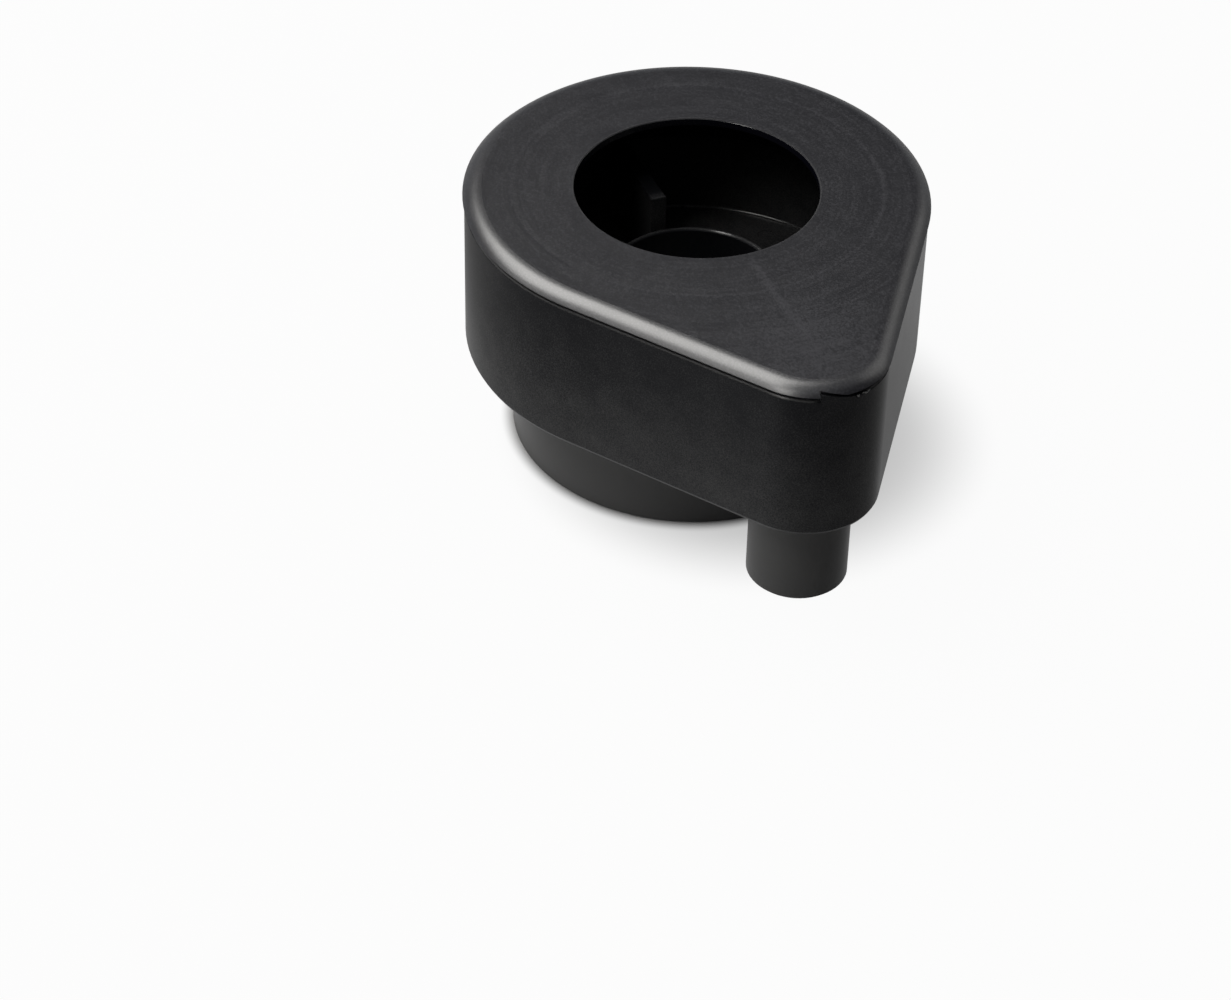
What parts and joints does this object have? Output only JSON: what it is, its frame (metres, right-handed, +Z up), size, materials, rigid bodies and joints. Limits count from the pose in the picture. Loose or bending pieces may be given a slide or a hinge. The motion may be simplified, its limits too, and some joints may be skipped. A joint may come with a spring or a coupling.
{
  "type": "rainwater diverter",
  "caption": "Teardrop plastic housing that fits into a round downpipe, collects rainwater in a ring-shaped trough and leads it to an outlet spigot, with a central overflow.",
  "frame": {"origin": "on the downpipe axis, in the plane of the lower socket's end, which the housing stands on", "axes": "+Z up the downpipe, +X from the downpipe axis towards the outlet spigot"},
  "size_m": [0.1868, 0.149, 0.0906],
  "materials": {
    "cover_plastic": "satin black moulded plastic, rubbed smooth on top",
    "body_plastic": "satin black moulded plastic with a fine even grain"
  },
  "bodies": {
    "root": {"cover": "cover_plastic", "collector_body": "body_plastic"}
  },
  "joints": []
}
